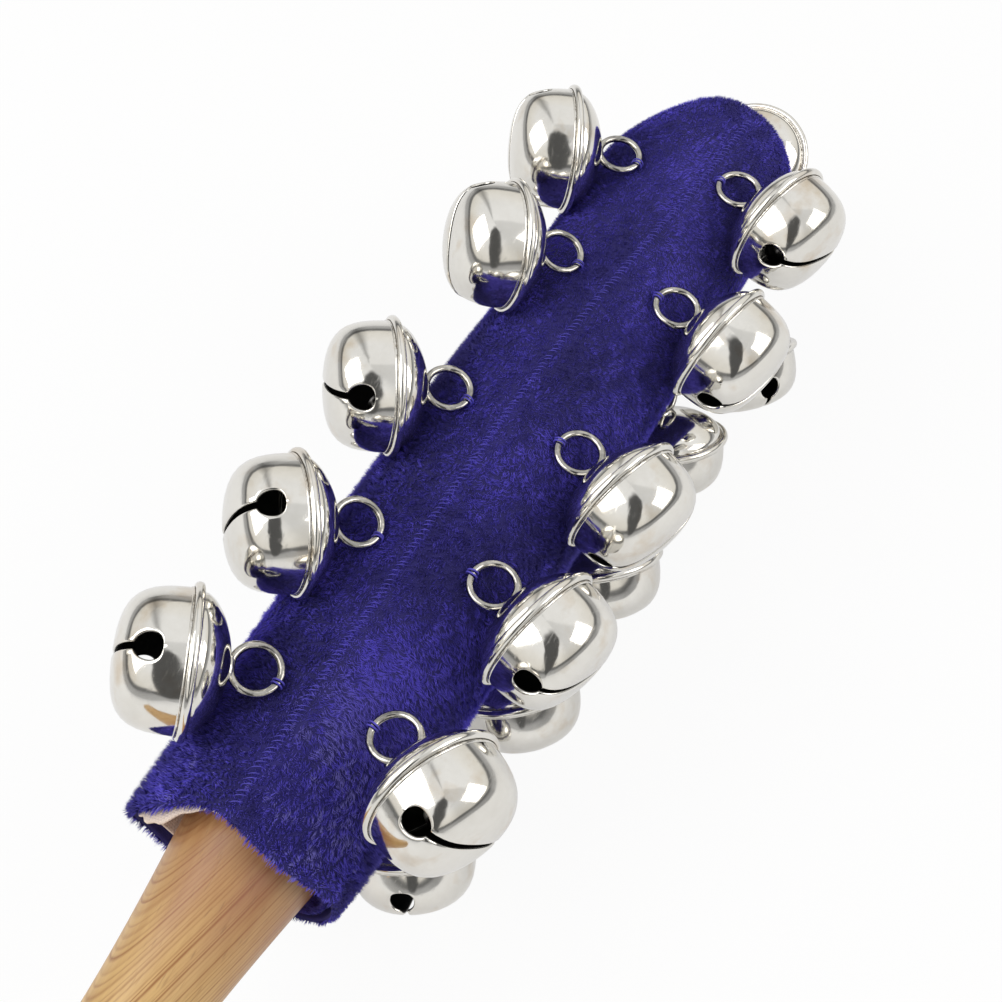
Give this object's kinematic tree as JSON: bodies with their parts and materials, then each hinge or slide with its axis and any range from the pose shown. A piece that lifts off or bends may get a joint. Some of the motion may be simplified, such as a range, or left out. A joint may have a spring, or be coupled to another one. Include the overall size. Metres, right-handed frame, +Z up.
{
  "type": "hand-held sleigh bells",
  "caption": "Turned wooden stick with a velvet sleeve and rows of small nickel crotal bells, each hung on a wire ring so that it jingles when the stick is shaken",
  "frame": {"origin": "centre of the flat end face of the handle", "axes": "+X runs along the stick from the handle end to the tip, +Z is up, +Y is to the left seen from the handle"},
  "size_m": [0.3178, 0.0701, 0.079],
  "materials": {
    "wood": "turned and clear varnished, fine straight grain",
    "backing": "woven cotton backing",
    "velvet": "short dense pile, brushed",
    "nickel": "bright nickel plate",
    "steel": "plain steel ball"
  },
  "bodies": {
    "stick": {"wooden_stick": "wood", "sleeve_lining": "backing", "velvet_sleeve": "velvet"},
    "bell_upper_left_1": {"bell_upper_left_1": "nickel"},
    "pellet_upper_left_1": {"pellet_upper_left_1": "steel"},
    "bell_upper_left_2": {"bell_upper_left_2": "nickel"},
    "pellet_upper_left_2": {"pellet_upper_left_2": "steel"},
    "bell_upper_left_3": {"bell_upper_left_3": "nickel"},
    "pellet_upper_left_3": {"pellet_upper_left_3": "steel"},
    "bell_upper_left_4": {"bell_upper_left_4": "nickel"},
    "pellet_upper_left_4": {"pellet_upper_left_4": "steel"},
    "bell_upper_left_5": {"bell_upper_left_5": "nickel"},
    "pellet_upper_left_5": {"pellet_upper_left_5": "steel"},
    "bell_upper_right_1": {"bell_upper_right_1": "nickel"},
    "pellet_upper_right_1": {"pellet_upper_right_1": "steel"},
    "bell_upper_right_2": {"bell_upper_right_2": "nickel"},
    "pellet_upper_right_2": {"pellet_upper_right_2": "steel"},
    "bell_upper_right_3": {"bell_upper_right_3": "nickel"},
    "pellet_upper_right_3": {"pellet_upper_right_3": "steel"},
    "bell_upper_right_4": {"bell_upper_right_4": "nickel"},
    "pellet_upper_right_4": {"pellet_upper_right_4": "steel"},
    "bell_upper_right_5": {"bell_upper_right_5": "nickel"},
    "pellet_upper_right_5": {"pellet_upper_right_5": "steel"},
    "bell_lower_right_1": {"bell_lower_right_1": "nickel"},
    "pellet_lower_right_1": {"pellet_lower_right_1": "steel"},
    "bell_lower_right_2": {"bell_lower_right_2": "nickel"},
    "pellet_lower_right_2": {"pellet_lower_right_2": "steel"},
    "bell_lower_right_3": {"bell_lower_right_3": "nickel"},
    "pellet_lower_right_3": {"pellet_lower_right_3": "steel"},
    "bell_lower_right_4": {"bell_lower_right_4": "nickel"},
    "pellet_lower_right_4": {"pellet_lower_right_4": "steel"},
    "bell_lower_right_5": {"bell_lower_right_5": "nickel"},
    "pellet_lower_right_5": {"pellet_lower_right_5": "steel"},
    "bell_lower_left_1": {"bell_lower_left_1": "nickel"},
    "pellet_lower_left_1": {"pellet_lower_left_1": "steel"},
    "bell_lower_left_2": {"bell_lower_left_2": "nickel"},
    "pellet_lower_left_2": {"pellet_lower_left_2": "steel"},
    "bell_lower_left_3": {"bell_lower_left_3": "nickel"},
    "pellet_lower_left_3": {"pellet_lower_left_3": "steel"},
    "bell_lower_left_4": {"bell_lower_left_4": "nickel"},
    "pellet_lower_left_4": {"pellet_lower_left_4": "steel"},
    "bell_lower_left_5": {"bell_lower_left_5": "nickel"},
    "pellet_lower_left_5": {"pellet_lower_left_5": "steel"},
    "bell_tip": {"bell_tip": "nickel"},
    "pellet_tip": {"pellet_tip": "steel"}
  },
  "joints": [
    {"name": "upper_left_1_swing", "type": "hinge", "parent": "stick", "child": "bell_upper_left_1", "pos_m": [0.262, 0.00632, 0.01945], "axis": [1, 0, 0], "range_deg": [0, 105]},
    {"name": "upper_left_1_roll", "type": "hinge", "parent": "bell_upper_left_1", "child": "pellet_upper_left_1", "pos_m": [0.25564, 0.02073, 0.02199], "axis": [0.515, -0.8441, -0.1488], "continuous": true},
    {"name": "upper_left_2_swing", "type": "hinge", "parent": "stick", "child": "bell_upper_left_2", "pos_m": [0.2322, 0.0039, 0.02007], "axis": [1, 0, 0], "range_deg": [0, 105]},
    {"name": "upper_left_2_roll", "type": "hinge", "parent": "bell_upper_left_2", "child": "pellet_upper_left_2", "pos_m": [0.22494, 0.01692, 0.02533], "axis": [0.5878, -0.7501, -0.3031], "continuous": true},
    {"name": "upper_left_3_swing", "type": "hinge", "parent": "stick", "child": "bell_upper_left_3", "pos_m": [0.1946, 0.00632, 0.01945], "axis": [1, 0, 0], "range_deg": [0, 105]},
    {"name": "upper_left_3_roll", "type": "hinge", "parent": "bell_upper_left_3", "child": "pellet_upper_left_3", "pos_m": [0.18734, 0.01988, 0.02308], "axis": [0.5878, -0.7815, -0.2094], "continuous": true},
    {"name": "upper_left_4_swing", "type": "hinge", "parent": "stick", "child": "bell_upper_left_4", "pos_m": [0.1624, 0.00495, 0.01984], "axis": [1, 0, 0], "range_deg": [0, 104]},
    {"name": "upper_left_4_roll", "type": "hinge", "parent": "bell_upper_left_4", "child": "pellet_upper_left_4", "pos_m": [0.15446, 0.01729, 0.02534], "axis": [0.6428, -0.6998, -0.3116], "continuous": true},
    {"name": "upper_left_5_swing", "type": "hinge", "parent": "stick", "child": "bell_upper_left_5", "pos_m": [0.1316, 0.00425, 0.02], "axis": [1, 0, 0], "range_deg": [-3, 105]},
    {"name": "upper_left_5_roll", "type": "hinge", "parent": "bell_upper_left_5", "child": "pellet_upper_left_5", "pos_m": [0.12561, 0.01838, 0.02459], "axis": [0.4848, -0.8318, -0.2703], "continuous": true},
    {"name": "upper_right_1_swing", "type": "hinge", "parent": "stick", "child": "bell_upper_right_1", "pos_m": [0.2672, -0.0096, 0.01806], "axis": [1, 0, 0], "range_deg": [-105, 2]},
    {"name": "upper_right_1_roll", "type": "hinge", "parent": "bell_upper_right_1", "child": "pellet_upper_right_1", "pos_m": [0.26318, -0.02524, 0.01641], "axis": [0.3256, 0.9403, 0.0988], "continuous": true},
    {"name": "upper_right_2_swing", "type": "hinge", "parent": "stick", "child": "bell_upper_right_2", "pos_m": [0.235, -0.01173, 0.01675], "axis": [1, 0, 0], "range_deg": [-105, 6]},
    {"name": "upper_right_2_roll", "type": "hinge", "parent": "bell_upper_right_2", "child": "pellet_upper_right_2", "pos_m": [0.23222, -0.02752, 0.01368], "axis": [0.225, 0.9565, 0.1859], "continuous": true},
    {"name": "upper_right_3_swing", "type": "hinge", "parent": "stick", "child": "bell_upper_right_3", "pos_m": [0.1963, -0.01144, 0.01695], "axis": [1, 0, 0], "range_deg": [-105, 4]},
    {"name": "upper_right_3_roll", "type": "hinge", "parent": "bell_upper_right_3", "child": "pellet_upper_right_3", "pos_m": [0.19228, -0.02692, 0.01422], "axis": [0.3256, 0.9312, 0.1642], "continuous": true},
    {"name": "upper_right_4_swing", "type": "hinge", "parent": "stick", "child": "bell_upper_right_4", "pos_m": [0.1655, -0.01144, 0.01695], "axis": [1, 0, 0], "range_deg": [-105, 6]},
    {"name": "upper_right_4_roll", "type": "hinge", "parent": "bell_upper_right_4", "child": "pellet_upper_right_4", "pos_m": [0.16189, -0.02714, 0.01475], "axis": [0.2924, 0.947, 0.1331], "continuous": true},
    {"name": "upper_right_5_swing", "type": "hinge", "parent": "stick", "child": "bell_upper_right_5", "pos_m": [0.1339, -0.01173, 0.01675], "axis": [1, 0, 0], "range_deg": [-105, 14]},
    {"name": "upper_right_5_roll", "type": "hinge", "parent": "bell_upper_right_5", "child": "pellet_upper_right_5", "pos_m": [0.12849, -0.02686, 0.01755], "axis": [0.4384, 0.8976, -0.047], "continuous": true},
    {"name": "lower_right_1_swing", "type": "hinge", "parent": "stick", "child": "bell_lower_right_1", "pos_m": [0.2683, -0.01368, -0.0152], "axis": [1, 0, 0], "range_deg": [-68, 30]},
    {"name": "lower_right_1_roll", "type": "hinge", "parent": "bell_lower_right_1", "child": "pellet_lower_right_1", "pos_m": [0.26269, -0.02295, -0.02706], "axis": [0.454, 0.5486, 0.7021], "continuous": true},
    {"name": "lower_right_2_swing", "type": "hinge", "parent": "stick", "child": "bell_lower_right_2", "pos_m": [0.2421, -0.01202, -0.01654], "axis": [1, 0, 0], "range_deg": [-68, 30]},
    {"name": "lower_right_2_roll", "type": "hinge", "parent": "bell_lower_right_2", "child": "pellet_lower_right_2", "pos_m": [0.23708, -0.01801, -0.03066], "axis": [0.4067, 0.357, 0.8409], "continuous": true},
    {"name": "lower_right_3_swing", "type": "hinge", "parent": "stick", "child": "bell_lower_right_3", "pos_m": [0.2087, -0.01173, -0.01675], "axis": [1, 0, 0], "range_deg": [-66, 30]},
    {"name": "lower_right_3_roll", "type": "hinge", "parent": "bell_lower_right_3", "child": "pellet_lower_right_3", "pos_m": [0.20271, -0.0196, -0.02935], "axis": [0.4848, 0.4635, 0.7417], "continuous": true},
    {"name": "lower_right_4_swing", "type": "hinge", "parent": "stick", "child": "bell_lower_right_4", "pos_m": [0.1756, -0.01022, -0.01771], "axis": [1, 0, 0], "range_deg": [-63, 30]},
    {"name": "lower_right_4_roll", "type": "hinge", "parent": "bell_lower_right_4", "child": "pellet_lower_right_4", "pos_m": [0.17019, -0.01848, -0.03042], "axis": [0.4384, 0.4895, 0.7538], "continuous": true},
    {"name": "lower_right_5_swing", "type": "hinge", "parent": "stick", "child": "bell_lower_right_5", "pos_m": [0.1403, -0.00991, -0.01789], "axis": [1, 0, 0], "range_deg": [-56, 30]},
    {"name": "lower_right_5_roll", "type": "hinge", "parent": "bell_lower_right_5", "child": "pellet_lower_right_5", "pos_m": [0.13304, -0.01672, -0.03017], "axis": [0.5878, 0.3922, 0.7076], "continuous": true},
    {"name": "lower_left_1_swing", "type": "hinge", "parent": "stick", "child": "bell_lower_left_1", "pos_m": [0.266, 0.01771, -0.01022], "axis": [1, 0, 0], "range_deg": [-6, 98]},
    {"name": "lower_left_1_roll", "type": "hinge", "parent": "bell_lower_left_1", "child": "pellet_lower_left_1", "pos_m": [0.26078, 0.01771, -0.02547], "axis": [0.4226, 0, 0.9063], "continuous": true},
    {"name": "lower_left_2_swing", "type": "hinge", "parent": "stick", "child": "bell_lower_left_2", "pos_m": [0.238, 0.01753, -0.01053], "axis": [1, 0, 0], "range_deg": [-7, 98]},
    {"name": "lower_left_2_roll", "type": "hinge", "parent": "bell_lower_left_2", "child": "pellet_lower_left_2", "pos_m": [0.2322, 0.01805, -0.02548], "axis": [0.4695, -0.0308, 0.8824], "continuous": true},
    {"name": "lower_left_3_swing", "type": "hinge", "parent": "stick", "child": "bell_lower_left_3", "pos_m": [0.204, 0.01789, -0.00991], "axis": [1, 0, 0], "range_deg": [-5, 98]},
    {"name": "lower_left_3_roll", "type": "hinge", "parent": "bell_lower_left_3", "child": "pellet_lower_left_3", "pos_m": [0.19898, 0.01762, -0.02524], "axis": [0.4067, 0.0159, 0.9134], "continuous": true},
    {"name": "lower_left_4_swing", "type": "hinge", "parent": "stick", "child": "bell_lower_left_4", "pos_m": [0.171, 0.01734, -0.01084], "axis": [1, 0, 0], "range_deg": [-10, 98]},
    {"name": "lower_left_4_roll", "type": "hinge", "parent": "bell_lower_left_4", "child": "pellet_lower_left_4", "pos_m": [0.16539, 0.01813, -0.02587], "axis": [0.454, -0.0466, 0.8898], "continuous": true},
    {"name": "lower_left_5_swing", "type": "hinge", "parent": "stick", "child": "bell_lower_left_5", "pos_m": [0.137, 0.01771, -0.01022], "axis": [1, 0, 0], "range_deg": [-7, 98]},
    {"name": "lower_left_5_roll", "type": "hinge", "parent": "bell_lower_left_5", "child": "pellet_lower_left_5", "pos_m": [0.13159, 0.01798, -0.02537], "axis": [0.4384, -0.0157, 0.8987], "continuous": true},
    {"name": "tip_swing", "type": "hinge", "parent": "stick", "child": "bell_tip", "pos_m": [0.29594, -0.004, 0.001], "axis": [0, 1, 0], "range_deg": [-104, 4]},
    {"name": "tip_roll", "type": "hinge", "parent": "bell_tip", "child": "pellet_tip", "pos_m": [0.30604, -0.004, -0.01192], "axis": [-0.6157, 0, 0.788], "continuous": true}
  ]
}
